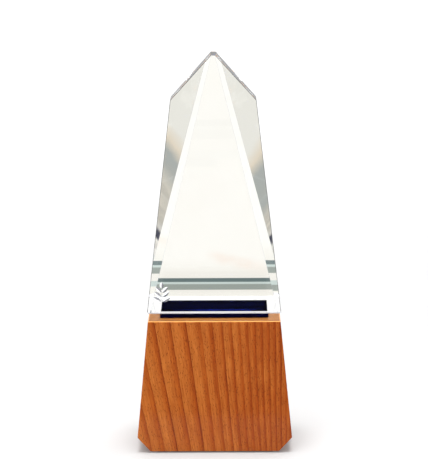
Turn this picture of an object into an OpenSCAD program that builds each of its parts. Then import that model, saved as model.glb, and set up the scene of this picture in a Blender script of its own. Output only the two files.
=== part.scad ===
// Crystal obelisk award.
// A faceted clear crystal is bonded to a dark blue glass slab, which is bonded
// to a solid wooden base that stands on a felt pad. Nothing on it moves.
//
// Frame: X is the width, Y runs from the front (-Y) to the back, and Z is up.
// The origin is the middle of the underside, where the felt meets the table.
// Lengths are in millimetres.

/* [Crystal] */
// Height of the crystal, from its underside to its flat tip
crystal_h = 160; // [140:1:190]
// Width of the crystal at its underside
crystal_w = 84; // [76:0.5:96]
// Depth of the crystal at its underside
crystal_d = 54.5; // [48:0.5:66]
// Height of the shoulders, where the sloping sides meet the roof
shoulder_h = 132; // [120:1:136]
// Width across the shoulders
shoulder_w = 53.6; // [48:0.2:60]
// Depth of each side facet at its shoulder
shoulder_d = 17.5; // [10:0.5:20]
// Width of the flat tip
tip_w = 3; // [2:0.2:6]
// Depth of the flat tip
tip_d = 22.8; // [20:0.2:28]
// Width of each corner facet at the underside, seen from the front
corner_w = 2; // [1.5:0.1:3]
// Size of the polished bevel around the underside
crystal_bevel = 1; // [0.5:0.1:1.4]

/* [Blue glass slab] */
// Thickness of the slab
slab_t = 4.4; // [3:0.1:8]
// How far the slab's edges lie inside the crystal's edges
slab_inset = 7.9; // [5:0.1:12]
// Size of the ground bevel along the slab's edges
slab_bevel = 0.4; // [0.2:0.1:0.8]

/* [Adhesive] */
// Thickness of each adhesive film
film_t = 0.1; // [0.1:0.05:0.3]
// How far each film's edge lies inside the slab's bevel
film_inset = 0.3; // [0.1:0.1:1]

/* [Wooden base] */
// Height of the wooden block
base_h = 85; // [60:1:110]
// Width of the block at its top
base_top_w = 83; // [76:0.5:100]
// Width of the block at its underside, before its lower corners are cut off
base_bottom_w = 99.6; // [98:0.2:120]
// Depth of the block, the same from top to bottom
base_d = 55; // [48:0.5:70]
// Width and height of the cut across each lower corner
base_cut = 9; // [4:0.5:14]

/* [Felt pad] */
// Thickness of the felt
felt_t = 1; // [0.8:0.1:2]
// How far the felt's edges lie inside the edges of the wood
felt_inset = 2.5; // [1:0.5:6]
// Radius of the felt's corners
felt_r = 3; // [1:0.5:6]

/* [Hidden] */

// Heights at which the stacked pieces start.
base_z = felt_t;
slab_film_z = base_z + base_h;
slab_z = slab_film_z + film_t;
crystal_film_z = slab_z + slab_t;
crystal_z = crystal_film_z + film_t;

slab_w = crystal_w - 2 * slab_inset;
slab_d = crystal_d - 2 * slab_inset;
film_w = slab_w - 2 * (slab_bevel + film_inset);
film_d = slab_d - 2 * (slab_bevel + film_inset);

// Half of the base's width that its sloping side loses up to the height of the cut.
base_lean = (base_bottom_w - base_top_w) / 2 * base_cut / base_h;

felt_w = base_bottom_w - 2 * (base_cut + felt_inset);
felt_d = base_d - 2 * felt_inset;

// Larger than the crystal in every direction, for the blocks that cut its facets.
block = 2 * (crystal_h + crystal_w);

// The unit normal of the plane through three points, on the side away from the axis.
function outward(a, b, c) =
    let (n = cross(b - a, c - a) / norm(cross(b - a, c - a)))
    n * a < 0 ? -n : n;

// Points on the right half of the crystal's front, at its underside, shoulder and tip.
front_foot = [crystal_w / 2 - corner_w, -crystal_d / 2, 0];
front_shoulder = [shoulder_w / 2, -shoulder_d / 2, shoulder_h];
front_tip = [tip_w / 2, -tip_d / 2, crystal_h];

// The normals of the four kinds of facet: front, side, corner and roof.
front_normal = outward(front_foot, front_tip, [0, -crystal_d / 2, 0]);
side_normal = outward([crystal_w / 2, 0, 0], [crystal_w / 2, 1, 0], front_shoulder);
corner_normal = outward(front_foot, front_tip, front_shoulder);
roof_normal = outward(front_shoulder, front_tip, [tip_w / 2, 0, crystal_h]);

// Takes away everything beyond the plane through a point with a given outward normal.
module cut_beyond(normal, point) {
    rotate([0, -asin(normal.z), atan2(normal.y, normal.x)])
        translate([normal * point, -block / 2, -block / 2])
            cube(block);
}

// The same, with the polished bevel that the facet leaves along the underside.
module facet(normal, point) {
    level = [normal.x, normal.y, 0] / norm([normal.x, normal.y]);
    // The facet's distance from the axis, at the height of the underside.
    reach = normal * point / norm([normal.x, normal.y]);
    cut_beyond(normal, point);
    cut_beyond((level - [0, 0, 1]) / sqrt(2), level * (reach - crystal_bevel));
}

// Repeats a front right shape in the other three quarters.
module four_quarters() {
    for (x = [0, 1], y = [0, 1])
        mirror([x, 0, 0])
            mirror([0, y, 0])
                children();
}

module crystal_obelisk() {
    color([0.93, 0.97, 0.97, 0.45])
        translate([0, 0, crystal_z])
            difference() {
                translate([-crystal_w / 2, -crystal_d / 2, 0])
                    cube([crystal_w, crystal_d, crystal_h]);
                for (turn = [0, 1]) {
                    mirror([0, turn, 0])
                        facet(front_normal, front_foot);
                    mirror([turn, 0, 0])
                        facet(side_normal, front_shoulder);
                    mirror([turn, 0, 0])
                        cut_beyond(roof_normal, front_tip);
                }
                four_quarters()
                    facet(corner_normal, front_foot);
            }
}

// A clear film of ultraviolet-cured adhesive on the middle of the slab.
module film() {
    translate([-film_w / 2, -film_d / 2, 0])
        cube([film_w, film_d, film_t]);
}

module crystal_adhesive() {
    color([0.85, 0.92, 0.95, 0.6])
        translate([0, 0, crystal_film_z])
            film();
}

module slab_adhesive() {
    color([0.85, 0.85, 0.8, 0.6])
        translate([0, 0, slab_film_z])
            film();
}

// An edge's profile: a rectangle with its four corners bevelled.
module bevelled_section(w, t, bevel) {
    polygon([
        [-w / 2 + bevel, 0], [w / 2 - bevel, 0], [w / 2, bevel], [w / 2, t - bevel],
        [w / 2 - bevel, t], [-w / 2 + bevel, t], [-w / 2, t - bevel], [-w / 2, bevel]
    ]);
}

module blue_glass_slab() {
    color([0.02, 0.03, 0.16])
        translate([0, 0, slab_z])
            intersection() {
                rotate([90, 0, 0])
                    linear_extrude(slab_d, center = true)
                        bevelled_section(slab_w, slab_t, slab_bevel);
                rotate([90, 0, 90])
                    linear_extrude(slab_w, center = true)
                        bevelled_section(slab_d, slab_t, slab_bevel);
            }
}

// The block's front outline, which is the same all the way to the back.
module base_outline() {
    foot = base_bottom_w / 2;
    polygon([
        [-foot + base_cut, 0], [foot - base_cut, 0], [foot - base_lean, base_cut],
        [base_top_w / 2, base_h], [-base_top_w / 2, base_h], [-foot + base_lean, base_cut]
    ]);
}

module wooden_base() {
    color([0.69, 0.36, 0.15])
        translate([0, 0, base_z])
            rotate([90, 0, 0])
                linear_extrude(base_d, center = true)
                    base_outline();
}

module rounded_rectangle(w, d, r) {
    square([w, d - 2 * r], center = true);
    square([w - 2 * r, d], center = true);
    for (x = [-1, 1], y = [-1, 1])
        translate([x * (w / 2 - r), y * (d / 2 - r)])
            circle(r, $fn = 48);
}

module felt_pad() {
    color([0.08, 0.1, 0.09])
        linear_extrude(felt_t)
            rounded_rectangle(felt_w, felt_d, felt_r);
}

felt_pad();
wooden_base();
slab_adhesive();
blue_glass_slab();
crystal_adhesive();
crystal_obelisk();
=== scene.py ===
"""The looks of the crystal obelisk award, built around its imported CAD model.

Everything is in metres, in the CAD frame: X is the width, +Y points to the back and Z is up.
"""

import math

import bmesh
import bpy
from mathutils import Matrix, Vector

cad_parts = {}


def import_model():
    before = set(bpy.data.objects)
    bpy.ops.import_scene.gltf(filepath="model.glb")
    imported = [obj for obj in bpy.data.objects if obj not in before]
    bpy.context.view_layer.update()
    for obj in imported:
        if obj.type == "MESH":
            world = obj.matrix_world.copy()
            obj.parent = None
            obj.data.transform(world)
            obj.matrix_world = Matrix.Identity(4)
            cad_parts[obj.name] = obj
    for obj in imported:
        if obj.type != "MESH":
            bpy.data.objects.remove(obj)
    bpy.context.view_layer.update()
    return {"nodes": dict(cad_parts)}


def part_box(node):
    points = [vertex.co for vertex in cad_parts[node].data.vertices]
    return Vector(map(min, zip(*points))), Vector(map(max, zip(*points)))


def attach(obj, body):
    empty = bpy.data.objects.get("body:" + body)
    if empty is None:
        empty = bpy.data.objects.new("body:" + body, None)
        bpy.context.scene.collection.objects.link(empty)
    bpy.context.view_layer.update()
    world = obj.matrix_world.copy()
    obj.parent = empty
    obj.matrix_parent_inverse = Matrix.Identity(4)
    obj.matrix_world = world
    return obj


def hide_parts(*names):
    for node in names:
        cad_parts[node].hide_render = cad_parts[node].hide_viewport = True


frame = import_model()

MM = 0.001
GLASS_IOR = 1.517

# The widths of ground, polished and eased edges, which the CAD model leaves sharp.
CRYSTAL_EDGE = 0.06 * MM
# The outline bevel along the sides and roof is painted near-black: painted shade.
OUTLINE_EDGE = 0.3 * MM
SLAB_EDGE = 0.12 * MM
WOOD_CHAMFER = 0.55 * MM
WOOD_EDGE = 0.3 * MM
FELT_EDGE = 0.25 * MM

FILM_GAP = 0.01 * MM  # between surfaces that would otherwise share a place
SLIVER = 0.25 * MM  # edges shorter than this are merged before bevels
LEVEL = 0.001 * MM  # how close to a height counts as at it

# The etched sprig, and its foot's place from the crystal's lower left corner.
SPRIG_ASIDE = 9.2 * MM
SPRIG_RISE = 7.2 * MM
LEAF_PAIRS = 3
LEAF_STEP = 2.9 * MM
LEAF_LENGTH = 6.4 * MM  # of the lowest pair
LEAF_SHRINK = 0.7 * MM  # from each pair to the next
TIP_LEAF_LENGTH = 4.0 * MM
LEAF_WIDTH = 2.5 * MM
LEAF_RIB = 0.3 * MM
STEM_WIDTH = 0.5 * MM

# The lines of the wood's growth rings on the front face, in millimetres.
FIRST_RING = -38.0  # where the first line meets the top, from its middle
RINGS_PER_MM = 0.1
SLOW_GROWTH = 20.0  # how far right of the first line they begin to lie closer together
SLOWING = 0.0014
RING_LEAN = 0.098  # how far right they move for each millimetre down
RING_TAPER = 0.002  # the share of their spacing that they lose for each millimetre down
RING_WAVER = 2.4

# What white emits in the studio: over 1, to make up for what the glass reflects away.
WHITE = 1.08


# ---------------------------------------------------------------- meshes

def clean_copy(node):
    """A bmesh of a CAD node's shape, its triangles merged back into flat faces."""
    shape = bmesh.new()
    shape.from_mesh(frame["nodes"][node].data)
    bmesh.ops.remove_doubles(shape, verts=shape.verts, dist=0.002 * MM)
    bmesh.ops.dissolve_limit(shape, angle_limit=math.radians(0.5), verts=shape.verts, edges=shape.edges)
    bmesh.ops.recalc_face_normals(shape, faces=shape.faces)
    return shape


def sharp_edges(shape, angle=5.0):
    """The edges at which two faces meet at more than an angle in degrees."""
    least = math.radians(angle)
    return [e for e in shape.edges if len(e.link_faces) == 2 and e.calc_face_angle() > least]


def bevel_edges(shape, edges, width, steps, material=-1):
    """Bevels edges within the sharp shape. The new faces may have a material of their own."""
    bmesh.ops.bevel(
        shape, geom=edges, offset=width, offset_type="OFFSET", segments=steps,
        profile=0.5, affect="EDGES", clamp_overlap=True, material=material,
    )


def piece(name, shape, *materials, replaces=(), slot=None):
    """Makes an object of a bmesh, riding on the award's only body."""
    mesh = bpy.data.meshes.new(name)
    shape.to_mesh(mesh)
    shape.free()
    for material in materials:
        mesh.materials.append(material)
    made = bpy.data.objects.new(name, mesh)
    bpy.context.scene.collection.objects.link(made)
    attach(made, "root")
    if replaces:
        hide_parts(*replaces)
    return made


# ---------------------------------------------------------------- node materials

def srgb(red, green, blue):
    """A linear colour from display values of 0 to 255."""
    return tuple(
        c / 12.92 if c <= 0.04045 else ((c + 0.055) / 1.055) ** 2.4
        for c in (v / 255 for v in (red, green, blue))
    )


class Nodes:
    """A node tree built up by short calls, most of which return an output socket."""

    def __init__(self, tree):
        self.tree = tree

    def link(self, source, target):
        """Sets an input to a number or an opaque colour, or links an output to it."""
        if isinstance(source, bpy.types.NodeSocket):
            self.tree.links.new(source, target)
        elif isinstance(source, tuple):
            target.default_value = (*source, 1.0)
        else:
            target.default_value = source

    def math(self, operation, a, b=0.0, clamp=False):
        node = self.tree.nodes.new("ShaderNodeMath")
        node.operation = operation
        node.use_clamp = clamp
        self.link(a, node.inputs[0])
        self.link(b, node.inputs[1])
        return node.outputs[0]

    def add(self, a, b):
        return self.math("ADD", a, b)

    def subtract(self, a, b):
        return self.math("SUBTRACT", a, b)

    def times(self, a, b):
        return self.math("MULTIPLY", a, b)

    def divide(self, a, b):
        return self.math("DIVIDE", a, b)

    def ramp_between(self, value, low, high, to_low=0.0, to_high=1.0):
        """A value's place between low and high, smoothed and stretched to another range."""
        node = self.tree.nodes.new("ShaderNodeMapRange")
        node.interpolation_type = "SMOOTHSTEP"
        for socket, number in zip(node.inputs[:5], (value, low, high, to_low, to_high)):
            self.link(number, socket)
        return node.outputs[0]

    def window(self, value, low, rise, fall, high):
        """1 from rise to fall, easing off to 0 at low and at high."""
        return self.times(self.ramp_between(value, low, rise), self.ramp_between(value, high, fall))

    def axes(self, vector):
        """A vector's X, Y and Z."""
        split = self.tree.nodes.new("ShaderNodeSeparateXYZ")
        self.link(vector, split.inputs[0])
        return list(split.outputs)

    def point(self, x, y, z):
        node = self.tree.nodes.new("ShaderNodeCombineXYZ")
        for value, socket in zip((x, y, z), node.inputs):
            self.link(value, socket)
        return node.outputs[0]

    def scaled(self, place, *factors):
        """The point at X, Y and Z, each multiplied by a factor of its own."""
        return self.point(*(self.times(axis, factor) for axis, factor in zip(place, factors)))

    def noise(self, place, scale=1.0, detail=2.0, roughness=0.5):
        node = self.tree.nodes.new("ShaderNodeTexNoise")
        self.link(place, node.inputs["Vector"])
        self.link(scale, node.inputs["Scale"])
        self.link(detail, node.inputs["Detail"])
        self.link(roughness, node.inputs["Roughness"])
        return node.outputs[0]

    def random(self, value):
        """A random number from 0 to 1 for each value."""
        node = self.tree.nodes.new("ShaderNodeTexWhiteNoise")
        node.noise_dimensions = "1D"
        self.link(value, node.inputs["W"])
        return node.outputs["Value"]

    def cells(self, place):
        """The distance to the nearest cell point, and that cell's random number."""
        node = self.tree.nodes.new("ShaderNodeTexVoronoi")
        self.link(place, node.inputs["Vector"])
        self.link(1.0, node.inputs["Scale"])
        split = self.tree.nodes.new("ShaderNodeSeparateColor")
        self.link(node.outputs["Color"], split.inputs[0])
        return node.outputs["Distance"], split.outputs[0]

    def colours(self, value, *stops):
        """A colour ramp through (position, colour) stops."""
        node = self.tree.nodes.new("ShaderNodeValToRGB")
        self.link(value, node.inputs[0])
        elements = node.color_ramp.elements
        for i, (position, colour) in enumerate(stops):
            element = elements[i] if i < 2 else elements.new(position)
            element.position = position
            element.color = (*colour, 1.0)
        return node.outputs[0]

    def tones(self, value, stops):
        """Display colours of 0 to 255, each at a value of its own, blended from one to the next."""
        near, far = stops[0][0], stops[-1][0]
        place = self.divide(self.subtract(value, near), far - near)
        return self.colours(place, *(((at - near) / (far - near), srgb(*tone)) for at, tone in stops))

    def mix(self, factor, a, b, blend="MIX"):
        node = self.tree.nodes.new("ShaderNodeMix")
        node.data_type = "RGBA"
        node.blend_type = blend
        self.link(factor, node.inputs[0])
        self.link(a, node.inputs[6])
        self.link(b, node.inputs[7])
        return node.outputs[2]

    def darken(self, amount, colour, tint):
        """Multiplies a colour by a tint, by an amount from 0 to 1."""
        return self.mix(amount, colour, tint, "MULTIPLY")


class Look(Nodes):
    """A material around one Principled shader, read at points in millimetres in the CAD frame."""

    def __init__(self, name):
        self.material = bpy.data.materials.new(name)
        self.material.use_nodes = True
        super().__init__(self.material.node_tree)
        self.shader = self.tree.nodes["Principled BSDF"]

    def set(self, **inputs):
        """Sets the shader's inputs, with _ standing for a space."""
        for name, value in inputs.items():
            self.link(value, self.shader.inputs[name.replace("_", " ")])

    def millimetres(self):
        """The point's X, Y and Z in the CAD frame."""
        place = self.tree.nodes.new("ShaderNodeTexCoord").outputs["Object"]
        return [self.times(axis, 1 / MM) for axis in self.axes(place)]

    def facing(self):
        """The X, Y and Z of the direction in which the surface faces."""
        return self.axes(self.tree.nodes.new("ShaderNodeTexCoord").outputs["Normal"])

    def glow(self, colour, strength):
        """Makes the surface give off light and reflect none."""
        self.set(Base_Color=(0.0, 0.0, 0.0), Specular_IOR_Level=0.0)
        self.set(Emission_Color=colour, Emission_Strength=strength)

    def bump(self, height, strength, distance):
        node = self.tree.nodes.new("ShaderNodeBump")
        self.link(strength, node.inputs["Strength"])
        self.link(distance, node.inputs["Distance"])
        self.link(height, node.inputs["Height"])
        self.link(node.outputs[0], self.shader.inputs["Normal"])


def growth_rings(look, x, y, z):
    """How many rings, and millimetres, a point lies past the first line, and the rings per millimetre."""
    low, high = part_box("wooden_base")
    drop = look.subtract(high.z / MM, z)
    inward = look.subtract(y, low.y / MM)
    waver = look.noise(look.scaled((x, y, z), 0.03, 0.03, 0.016), detail=3.0)
    waver = look.times(look.subtract(waver, 0.5), RING_WAVER)
    lean = look.subtract(look.add(x, waver), look.times(drop, RING_LEAN))
    across = look.divide(lean, look.subtract(1.0, look.times(drop, RING_TAPER)))
    # Towards the back the lines curve round the tree's heart.
    curve = look.add(look.times(inward, 0.25), look.times(look.times(inward, inward), 1 / 240))
    start = look.subtract(look.add(across, curve), FIRST_RING)
    # They lie closer together towards the right, where the tree grew slower.
    slower = look.math("MAXIMUM", look.subtract(start, SLOW_GROWTH), 0.0)
    rings = look.add(look.times(start, RINGS_PER_MM), look.times(look.times(slower, slower), SLOWING))
    return rings, start, look.add(RINGS_PER_MM, look.times(slower, 2 * SLOWING))


def ring_colours(look, rings, across, rings_per_mm):
    """Each ring's colours: palest after its line, and darker ahead of the next one."""
    phase = look.math("FRACT", rings)
    ahead = look.divide(look.subtract(1.0, phase), rings_per_mm)
    behind = look.divide(phase, rings_per_mm)
    light = srgb(195, 112, 45)
    middle = srgb(181, 92, 27)
    late = srgb(156, 68, 12)
    line = srgb(122, 44, 4)
    grain = look.colours(phase, (0.0, light), (0.45, light), (0.8, middle), (1.0, middle))
    # Some lines are fainter than others, and those at both sides are fainter still.
    chance = look.random(look.math("FLOOR", rings))
    strength = look.ramp_between(across, 22.0, 48.0, 1.0, 0.62)
    strength = look.times(strength, look.ramp_between(chance, 0.1, 0.9, 1.0, 0.3))
    strength = look.times(strength, look.ramp_between(across, -6.0, -1.0, 0.4, 1.0))
    grain = look.mix(look.times(strength, look.ramp_between(ahead, 2.4, 0.3, 0.0, 0.8)), grain, late)
    dark = look.math("MAXIMUM", look.ramp_between(ahead, 0.9, 0.1), look.ramp_between(behind, 0.35, 0.0))
    return look.mix(look.times(look.times(strength, dark), 0.8), grain, line)


def wood_look():
    """Reddish-brown straight-grained hardwood, solid through the block, under a satin lacquer."""
    look = Look("lacquered_wood")
    x, y, z = look.millimetres()
    rings, across, rings_per_mm = growth_rings(look, x, y, z)
    along = (across, y, z)
    grain = ring_colours(look, rings, across, rings_per_mm)

    # Broad redder and darker areas, most of them to the right.
    cloud = look.noise(look.scaled(along, 0.05, 0.03, 0.025), detail=3.0)
    cloud = look.add(cloud, look.ramp_between(across, 25.0, 75.0, -0.08, 0.22))
    grain = look.darken(look.ramp_between(cloud, 0.35, 0.7, 0.0, 0.8), grain, (0.83, 0.65, 0.44))

    # Fine fibres along the grain, in broader streaks.
    streak = look.noise(look.scaled(along, 0.55, 0.55, 0.03), detail=3.0, roughness=0.6)
    fibre = look.noise(look.scaled(along, 1.6, 1.6, 0.11), detail=4.0, roughness=0.75)
    grain = look.darken(look.ramp_between(streak, 0.35, 0.68, 0.0, 0.55), grain, (0.72, 0.58, 0.42))
    grain = look.darken(look.ramp_between(fibre, 0.38, 0.62, 0.0, 0.75), grain, (0.68, 0.55, 0.42))

    # Short dark pores, crowded in some streaks.
    near, chosen = look.cells(look.scaled(along, 1.5, 1.5, 0.45))
    crowd = look.ramp_between(streak, 0.35, 0.65, 0.6, 0.15)
    pore = look.times(look.ramp_between(near, 0.36, 0.14), look.math("GREATER_THAN", chosen, crowd))
    grain = look.mix(look.times(pore, 0.8), grain, srgb(84, 32, 4))

    # The chamfer round the top is painted paler: a painted highlight, where it catches light from above.
    upward = look.facing()[2]
    grain = look.mix(look.ramp_between(upward, 0.3, 0.6, 0.0, 0.7), grain, srgb(222, 162, 84))
    # The end grain of the flat top inside the chamfer is painted darker: painted shade under the crystal
    # and slab.
    grain = look.mix(look.ramp_between(upward, 0.8, 0.97, 0.0, 0.85), grain, srgb(108, 66, 33))

    look.set(Base_Color=grain, IOR=1.5, Specular_IOR_Level=0.06)
    look.set(Coat_Weight=0.3, Coat_Roughness=0.15, Coat_IOR=1.5)
    look.set(Roughness=look.ramp_between(fibre, 0.3, 0.7, 0.42, 0.58))
    look.bump(look.subtract(fibre, look.times(pore, 1.5)), 0.3, 0.08 * MM)
    return look.material


def crystal_look():
    """Clear optical crystal. Its front and back are tinted a faint warm grey, painted shade that dims
    what is seen straight through its middle.
    """
    look = Look("optical_crystal")
    haze = look.noise(look.scaled(look.millimetres(), 0.06, 0.06, 0.06), detail=5.0, roughness=0.6)
    # Painted shade: the broad front and back get a faint warm grey tint, so that what is seen straight
    # through the middle looks dimmer.
    broad = look.ramp_between(look.math("ABSOLUTE", look.facing()[1]), 0.965, 0.985)
    painted_dimming = look.colours(haze, (0.3, (0.996, 0.994, 0.984)), (0.7, (0.98, 0.972, 0.956)))
    clear = look.colours(haze, (0.3, (0.99, 1.0, 0.995)), (0.7, (0.98, 0.99, 0.985)))
    look.set(Base_Color=look.mix(broad, clear, painted_dimming))
    look.set(Roughness=look.ramp_between(haze, 0.4, 0.8, 0.0, 0.01))
    look.set(IOR=GLASS_IOR, Transmission_Weight=1.0)
    return look.material


def ground_and_shade_look(name, dim, clear, clarity):
    """Finely ground crystal, and with near-black colours and no clarity, the painted shade on the
    crystal's outline. Its clarity is the share of the light that it lets through.
    """
    look = Look(name)
    grit = look.noise(look.point(*look.millimetres()), scale=2.5, detail=4.0, roughness=0.7)
    look.set(Base_Color=look.colours(grit, (0.35, dim), (0.65, clear)))
    look.set(Roughness=look.ramp_between(grit, 0.3, 0.7, 0.22, 0.42))
    look.set(IOR=GLASS_IOR, Transmission_Weight=clarity)
    look.bump(grit, 0.3, 0.02 * MM)
    return look.material


def bonded_look(name, dim, clear):
    """Clear material in optical contact with what lies on both sides, so light goes straight through."""
    look = Look(name)
    cloud = look.noise(look.scaled(look.millimetres(), 0.3, 0.3, 0.3), detail=3.0)
    look.set(Base_Color=look.colours(cloud, (0.3, dim), (0.7, clear)))
    look.set(IOR=1.0, Transmission_Weight=1.0, Roughness=0.0)
    return look.material


def navy(look, place):
    """The dark blue of the slab's body, with a slightly uneven melt."""
    melt = look.noise(look.scaled(place, 0.06, 0.12, 0.3), detail=3.0)
    return look.colours(melt, (0.3, (0.0004, 0.0006, 0.006)), (0.7, (0.0008, 0.0012, 0.018)))


def slab_look():
    """The outside of the dark blue glass slab."""
    look = Look("blue_glass")
    look.set(Base_Color=navy(look, look.millimetres()))
    look.set(IOR=GLASS_IOR, Specular_IOR_Level=0.05, Roughness=0.06)
    return look.material


def slab_top_look():
    """The slab's bonded top, which reflects nothing. Its colour holds a painted blue glint, standing in
    for light inside the blue glass.
    """
    look = Look("blue_glass_bonded")
    x, y, z = look.millimetres()
    low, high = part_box("blue_glass_slab")
    front, back = low.y / MM, high.y / MM
    # Painted glint: a brighter blue in a broken line near the front edge, standing in for light from the
    # front inside the glass.
    streak = look.window(y, front + 3.0, front + 5.5, front + 6.0, front + 9.0)
    reach = look.window(x, -28.0, 0.0, 12.0, 32.0)
    broken = look.noise(look.point(look.times(x, 0.35), look.times(y, 0.5), 0.0), detail=3.0)
    painted_glint = look.times(look.times(streak, reach), look.ramp_between(broken, 0.35, 0.65, 0.35, 1.0))
    colour = look.mix(painted_glint, navy(look, (x, y, z)), (0.008, 0.02, 0.24))
    # The back edge is a little paler.
    pale = look.ramp_between(broken, 0.3, 0.6, 0.2, 0.8)
    rim = look.times(look.ramp_between(y, back - 7.0, back - 3.0), pale)
    colour = look.mix(rim, colour, (0.009, 0.01, 0.02))
    look.set(Base_Color=colour, IOR=1.0, Roughness=0.5)
    return look.material


def felt_look():
    """Dense dark pressed felt."""
    look = Look("pressed_felt")
    fuzz = look.noise(look.point(*look.millimetres()), scale=3.0, detail=5.0, roughness=0.7)
    look.set(Base_Color=look.colours(fuzz, (0.3, (0.012, 0.014, 0.013)), (0.7, (0.05, 0.055, 0.052))))
    look.set(Roughness=0.95, Sheen_Weight=0.4, Sheen_Roughness=0.5)
    look.bump(fuzz, 0.8, 0.2 * MM)
    return look.material


def etched_look(name, dim, bright):
    """Etched glass: matt and slightly uneven. In dark colours it is painted shade."""
    look = Look(name)
    grit = look.noise(look.point(*look.millimetres()), scale=1.6, detail=5.0, roughness=0.7)
    look.set(Base_Color=look.colours(grit, (0.35, dim), (0.6, bright)))
    look.set(Roughness=0.8, IOR=1.3)
    look.bump(grit, 0.6, 0.15 * MM)
    return look.material


# ---------------------------------------------------------------- pieces of the award

def underside(shape):
    """The faces of a shape's flat underside."""
    under = min(v.co.z for v in shape.verts)
    return [f for f in shape.faces if all(abs(v.co.z - under) < LEVEL for v in f.verts)]


def split_underside(shape, low, high):
    """Cuts a shape's underside along the sides of an upright box, and returns the face inside it."""
    for normal in (Vector((1, 0, 0)), Vector((0, 1, 0))):
        for corner in (low, high):
            flat = underside(shape)
            parts = {*flat, *(e for f in flat for e in f.edges), *(v for f in flat for v in f.verts)}
            bmesh.ops.bisect_plane(shape, geom=list(parts), plane_co=corner, plane_no=normal)
    middle = (low + high) / 2
    return min(underside(shape), key=lambda f: (f.calc_center_median().xy - middle.xy).length)


def on_outline(edge):
    """Whether an edge of the crystal borders a side facet or a roof plane, above the underside."""
    normals = [f.normal for f in edge.link_faces]
    return all(n.z > -0.3 for n in normals) and any(abs(n.x) > 0.6 for n in normals)


def crystal_obelisk():
    """The faceted crystal. Its edges are finely ground, except the bevel along its sides and roof, which
    is painted near-black as shade, and its underside is clear where it is bonded.
    """
    polished, bonded, ground, outline = range(4)
    shape = clean_copy("crystal_obelisk")
    # Slivers where the bevels of the underside meet would hold the width of every other bevel down.
    bmesh.ops.remove_doubles(shape, verts=shape.verts, dist=SLIVER)
    for face in shape.faces:
        face.material_index = ground if -0.9 < face.normal.z < -0.5 else polished
    # Painted shade: the bevel along the side facets and roof is near-black and lets no light through.
    bevel_edges(shape, [e for e in sharp_edges(shape) if on_outline(e)], OUTLINE_EDGE, 1, outline)
    rest = [e for e in sharp_edges(shape) if all(f.material_index != outline for f in e.link_faces)]
    bevel_edges(shape, rest, CRYSTAL_EDGE, 1, ground)
    split_underside(shape, *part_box("crystal_adhesive")).material_index = bonded
    made = piece(
        "crystal", shape, crystal_look(),
        bonded_look("wetted_crystal", (0.97, 0.98, 0.98), (0.99, 1.0, 1.0)),
        ground_and_shade_look("ground_crystal", (0.38, 0.4, 0.46), (0.56, 0.58, 0.64), 0.65),
        ground_and_shade_look("painted_shade_outline", (0.012, 0.012, 0.012), (0.04, 0.04, 0.04), 0.0),
        replaces=("crystal_obelisk",), slot="crystal",
    )
    # Clear crystal casts no solid shadow on the slab and the wood.
    made.visible_shadow = False
    return made


def adhesive_film(node, material):
    """An adhesive layer whose faces stay just clear of the glass, so that no two faces share a place."""
    shape = clean_copy(node)
    low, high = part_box(node)
    for v in shape.verts:
        v.co.z += FILM_GAP if v.co.z < (low.z + high.z) / 2 else -FILM_GAP
    return piece(f"{node}_film", shape, material, replaces=(node,), slot="clear_adhesive")


def blue_glass_slab():
    shape = clean_copy("blue_glass_slab")
    bevel_edges(shape, sharp_edges(shape), SLAB_EDGE, 2)
    top = max(v.co.z for v in shape.verts)
    for face in shape.faces:
        face.material_index = int(face.calc_center_median().z > top - LEVEL)
    return piece(
        "slab", shape, slab_look(), slab_top_look(), replaces=("blue_glass_slab",), slot="blue_glass"
    )


def wooden_base():
    """The block with its top chamfered and its other edges eased by sanding."""
    shape = clean_copy("wooden_base")
    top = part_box("wooden_base")[1].z
    upper = [e for e in sharp_edges(shape) if all(abs(v.co.z - top) < LEVEL for v in e.verts)]
    bevel_edges(shape, upper, WOOD_CHAMFER, 1)
    bevel_edges(shape, sharp_edges(shape), WOOD_EDGE, 3)
    for face in shape.faces:
        face.smooth = True
    made = piece("wood_block", shape, wood_look(), replaces=("wooden_base",), slot="wood")
    even = made.modifiers.new("even_shading", "WEIGHTED_NORMAL")
    even.keep_sharp = True
    return made


def felt_pad():
    shape = clean_copy("felt_pad")
    bevel_edges(shape, sharp_edges(shape, 60.0), FELT_EDGE, 2)
    return piece("felt", shape, felt_look(), replaces=("felt_pad",), slot="felt")


def leaf(shape, to_facet, length, width):
    """A pointed leaf with a raised rib, along the frame's Y. Its right half has the second material,
    which paints shade on it.
    """
    steps = 8
    profile = ((-1, 0), (-0.6, 0.5), (0, 1), (0.6, 0.5), (1, 0))
    rows = []
    for i in range(steps + 1):
        t = i / steps
        if i in (0, steps):
            rows.append([shape.verts.new(to_facet @ Vector((0, t * length, 0)))] * len(profile))
            continue
        half = width / 2 * math.sin(math.pi * t ** 0.8)
        rib = LEAF_RIB * math.sin(math.pi * t) ** 0.5
        places = (Vector((half * u, t * length, rib * lift)) for u, lift in profile)
        rows.append([shape.verts.new(to_facet @ place) for place in places])
    for low, high in zip(rows, rows[1:]):
        for k in range(len(profile) - 1):
            corners = list(dict.fromkeys((low[k], low[k + 1], high[k + 1], high[k])))
            if len(corners) > 2:
                shape.faces.new(corners).material_index = int(k > 1)
    rim = [*(row[0] for row in rows), *(row[-1] for row in reversed(rows[1:-1]))]
    shape.faces.new(rim)


def facet_frame(place_x, place_z):
    """A frame on the crystal's front facet: X across it, Y up it and Z out of it."""
    crystal = clean_copy("crystal_obelisk")
    front = min(crystal.faces, key=lambda f: f.normal.y)
    normal, on_plane = front.normal.copy(), front.verts[0].co.copy()
    crystal.free()
    origin = Vector((place_x, on_plane.y, place_z))
    origin.y -= normal.dot(origin - on_plane) / normal.y
    right = Vector((1, 0, 0))
    frame_on_facet = Matrix((right, normal.cross(right), normal)).transposed().to_4x4()
    frame_on_facet.translation = origin + normal * FILM_GAP
    return frame_on_facet


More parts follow.
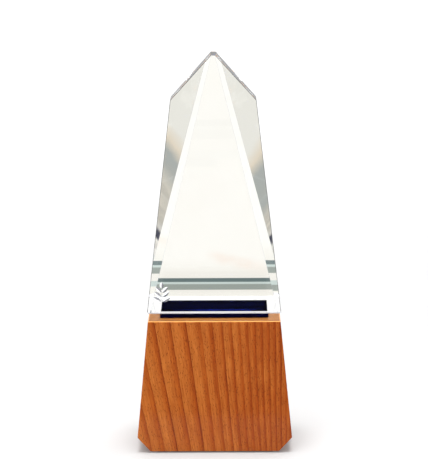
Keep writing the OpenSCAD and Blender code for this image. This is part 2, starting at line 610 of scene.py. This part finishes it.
def etched_sprig():
    """A plain sprig of paired leaves low on the left of the front facet, a little proud of it."""
    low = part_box("crystal_obelisk")[0]
    foot = facet_frame(low.x + SPRIG_ASIDE, low.z + SPRIG_RISE)
    shape = bmesh.new()
    leaf(shape, foot, LEAF_PAIRS * LEAF_STEP, STEM_WIDTH)
    for i in range(LEAF_PAIRS):
        length = LEAF_LENGTH - LEAF_SHRINK * i
        for side in (-1, 1):
            place = Matrix.Translation((side * 0.35 * MM, (i + 0.2) * LEAF_STEP, 0))
            turn = Matrix.Rotation(-side * math.radians(60 - 8 * i), 4, "Z")
            leaf(shape, foot @ place @ turn, length, LEAF_WIDTH)
    tip = Matrix.Translation((0, (LEAF_PAIRS + 0.1) * LEAF_STEP, 0))
    leaf(shape, foot @ tip, TIP_LEAF_LENGTH, LEAF_WIDTH)
    bmesh.ops.recalc_face_normals(shape, faces=shape.faces)
    return piece(
        "etched_sprig", shape,
        etched_look("etched_crystal", (0.85, 0.86, 0.88), (1.0, 1.0, 1.0)),
        # The second look paints the right half of each leaf dark grey: painted shade, as if the raised
        # leaves were lit from the left.
        etched_look("etched_shade", (0.1, 0.1, 0.11), (0.3, 0.3, 0.32)), slot="crystal",
    )


# ---------------------------------------------------------------- studio

def stage_quad(name, corners, material, hidden_from=()):
    """A flat four-cornered piece of the studio, hidden from some kinds of ray."""
    mesh = bpy.data.meshes.new(name)
    mesh.from_pydata([Vector(c) for c in corners], [], [(0, 1, 2, 3)])
    mesh.materials.append(material)
    made = bpy.data.objects.new(name, mesh)
    bpy.context.scene.collection.objects.link(made)
    for ray in hidden_from:
        setattr(made, f"visible_{ray}", False)
    return made


def floor():
    """A pale matt floor that fades into the bright background."""
    look = Look("pale_floor")
    x, y, z = look.millimetres()
    away = look.math("SQRT", look.add(look.times(x, x), look.times(y, y)))
    fade = look.ramp_between(away, 200.0, 1800.0)
    glow = look.ramp_between(away, 200.0, 1450.0)
    mottle = look.noise(look.point(x, y, z), scale=0.01, detail=3.0)
    near = look.colours(mottle, (0.3, (0.42, 0.42, 0.42)), (0.7, (0.45, 0.45, 0.45)))
    look.set(Base_Color=look.mix(fade, near, (0.0, 0.0, 0.0)))
    look.set(Emission_Color=look.mix(glow, (0.1, 0.1, 0.1), (1.0, 1.0, 1.0)), Emission_Strength=WHITE)
    look.set(Roughness=1.0, Specular_IOR_Level=0.0)
    half = 15.0
    corners = [(-half, -half, 0), (half, -half, 0), (half, half, 0), (-half, half, 0)]
    stage_quad("floor", corners, look.material)


def behind_middle(look, x, away):
    """The pale table straight behind the award, crossed by bands of tone, by distance in millimetres."""
    table, far_table = srgb(244, 242, 235), srgb(252, 251, 246)
    mist, sage, slate = srgb(202, 215, 211), srgb(156, 164, 158), srgb(106, 122, 122)
    edge = 0.7  # half the width of a band's soft edge
    tone = look.mix(look.ramp_between(away, 320.0, 370.0), table, far_table)
    # Where two bands meet, the later one lies over the end of the earlier one.
    for start, end, band in ((264, 275, mist), (290, 305, sage), (303, 310, mist), (308, 317, slate)):
        inside = look.window(away, start - edge, start + edge, end - edge, end + edge)
        tone = look.mix(inside, tone, band)
    # One more band close behind the award, on the right only.
    close = look.window(away, 254 - edge, 254 + edge, 266 - edge, 266 + edge)
    tone = look.mix(look.times(close, look.ramp_between(x, -1.0, 0.0)), tone, sage)
    # A faint warm streak further back, slanting nearer towards the right.
    slant = look.add(away, look.times(x, 0.72))
    warm = look.window(slant, 345.0, 364.0, 370.0, 392.0)
    warm = look.times(warm, look.window(x, -14.0, 4.0, 24.0, 48.0))
    patchy = look.noise(look.point(look.times(x, 0.09), look.times(away, 0.05), 0.0), detail=4.0)
    warm = look.times(warm, look.ramp_between(patchy, 0.3, 0.6, 0.25, 0.6))
    return look.mix(warm, tone, srgb(248, 235, 224))


def behind_sides(look, aside, away):
    """Streaky warm and cool greys to each side, by distance to the side in millimetres."""
    drift = look.noise(look.point(look.times(aside, 0.03), look.times(away, 0.012), 0.0), detail=3.0)
    aside = look.add(aside, look.times(look.subtract(drift, 0.5), 14.0))
    white, ink, warm = (246, 243, 236), (56, 58, 76), (206, 200, 187)
    cool, sand, pale = (165, 169, 165), (222, 210, 190), (230, 228, 220)
    tone = look.tones(aside, (
        (59, white), (61, ink), (66, ink), (68, white), (72, warm), (100, warm),
        (114, cool), (127, cool), (137, sand), (150, pale),
    ))
    # The streaks end where the tones turn cool.
    streaks = look.noise(look.point(look.times(aside, 0.12), look.times(away, 0.01), 0.0), detail=3.0)
    shown = look.ramp_between(aside, 125.0, 105.0)
    streaks = look.times(look.ramp_between(streaks, 0.4, 0.65, 0.0, 0.6), shown)
    return look.mix(streaks, tone, srgb(176, 172, 162))


def surroundings_look():
    """What the crystal refracts from the table around it: bands straight ahead and softer tones aside."""
    look = Look("surroundings")
    x, y, z = look.millimetres()
    aside = look.math("ABSOLUTE", x)
    ratio = look.divide(aside, y)
    # On the left the tones lie a little closer in.
    outer = look.ramp_between(aside, 86.0, 130.0, 0.0, -16.0)
    shift = look.add(look.ramp_between(aside, 70.0, 86.0, 0.0, 21.0), outer)
    aside = look.add(aside, look.times(shift, look.ramp_between(x, 1.0, -1.0)))
    middle = behind_middle(look, x, y)
    sides = behind_sides(look, aside, y)
    colour = look.mix(look.ramp_between(ratio, 0.165, 0.185), middle, sides)
    look.glow(look.mix(look.ramp_between(ratio, 0.38, 0.6), colour, srgb(214, 217, 219)), WHITE)
    return look.material


def surroundings():
    """Four cards just above the floor, one on each side, which only show in glass and gloss."""
    near, far, height = 0.25, 1.6, 0.0015
    look = surroundings_look()
    corners = [(-near, near, height), (near, near, height), (far, far, height), (-far, far, height)]
    for name, quarter in (("back", 0), ("left", 1), ("front", 2), ("right", 3)):
        card = stage_quad(f"card_{name}", corners, look, hidden_from=("camera", "diffuse", "shadow"))
        card.rotation_euler.z = quarter * math.pi / 2


def room_look(name, dim, bright):
    """An unevenly lit part of the room."""
    look = Look(name)
    depth = look.noise(look.scaled(look.millimetres(), 0.002, 0.002, 0.002), detail=2.0)
    look.glow(look.colours(depth, (0.3, dim), (0.7, bright)), 1.0)
    return look.material


def room():
    """The unlit room behind the photographer and a dim wall behind the award, only for reflections."""
    unlit = room_look("unlit_room", (0.03, 0.03, 0.033), (0.09, 0.09, 0.095))
    dim = room_look("dim_room", (0.58, 0.58, 0.58), (0.72, 0.72, 0.72))
    near, far = 0.1, 3.0
    inner, outer = 0.25, 1.2
    lift, low, high = 0.002, 0.6, 2.2
    for name, look, corners in (
        ("dark_floor", unlit, [
            (-inner, -near, lift), (inner, -near, lift), (outer, -far, lift), (-outer, -far, lift),
        ]),
        ("dark_wall", unlit, [
            (-outer, -far, 0), (outer, -far, 0), (outer, -far, high), (-outer, -far, high),
        ]),
        ("dim_wall", dim, [
            (-outer, far, 0), (outer, far, 0), (outer, far, low), (-outer, far, low),
        ]),
    ):
        stage_quad(name, corners, look, hidden_from=("camera", "diffuse", "transmission", "shadow"))


def area_lamp(name, place, target, size, power):
    data = bpy.data.lights.new(name, "AREA")
    data.shape = "DISK"
    data.size = size
    data.energy = power
    lamp = bpy.data.objects.new(name, data)
    lamp.location = place
    lamp.rotation_euler = (Vector(target) - Vector(place)).to_track_quat("-Z", "Y").to_euler()
    bpy.context.scene.collection.objects.link(lamp)


def world():
    """White at eye level, with a bright soft ceiling and darker walls at the sides."""
    made = bpy.data.worlds.new("studio")
    made.use_nodes = True
    sky = Nodes(made.node_tree)
    x, y, z = sky.axes(sky.tree.nodes.new("ShaderNodeTexCoord").outputs["Generated"])
    walls = sky.ramp_between(sky.math("ABSOLUTE", x), 0.45, 0.8, 0.8, 0.4)
    ceiling = sky.ramp_between(z, 0.8, 0.93)
    above = sky.add(sky.times(walls, sky.subtract(1.0, ceiling)), sky.times(ceiling, 1.5))
    risen = sky.ramp_between(z, 0.28, 0.42)
    background = sky.tree.nodes["Background"]
    sky.link((1.0, 1.0, 1.0), background.inputs["Color"])
    strength = sky.add(sky.times(above, risen), sky.times(WHITE, sky.subtract(1.0, risen)))
    sky.link(strength, background.inputs["Strength"])
    bpy.context.scene.world = made


def camera():
    """A long lens, a little above the award and almost square to its front."""
    azimuth, elevation, roll = math.radians(0.4), math.radians(11.6), math.radians(-0.3)
    distance = 1.204
    target = Vector((0.0, 0.0, 0.1389))
    view_width = 0.271138  # of the picture, at the target
    back = Vector((
        math.sin(azimuth) * math.cos(elevation),
        -math.cos(azimuth) * math.cos(elevation),
        math.sin(elevation),
    ))
    data = bpy.data.cameras.new("camera")
    data.sensor_fit = "HORIZONTAL"
    data.sensor_width = 36.0
    data.lens = data.sensor_width * distance / view_width
    data.clip_start = 0.01
    data.clip_end = 100.0
    made = bpy.data.objects.new("camera", data)
    made.location = target + back * distance
    turn = (-back).to_track_quat("-Z", "Y").to_matrix() @ Matrix.Rotation(roll, 3, "Z")
    made.rotation_euler = turn.to_euler()
    bpy.context.scene.collection.objects.link(made)
    bpy.context.scene.camera = made


def studio():
    floor()
    surroundings()
    room()
    world()
    area_lamp("key", (-0.7, -1.3, 1.5), (0, 0, 0.12), 1.0, 6.6)
    area_lamp("top", (0.0, -0.1, 1.5), (0, 0, 0.1), 1.0, 30.0)
    camera()
    bpy.context.scene.view_settings.view_transform = "Standard"


crystal_obelisk()
resin = bonded_look("clear_adhesive", (0.95, 0.97, 0.96), (0.99, 1.0, 0.99))
adhesive_film("crystal_adhesive", resin)
adhesive_film("slab_adhesive", resin)
blue_glass_slab()
wooden_base()
felt_pad()
etched_sprig()
studio()
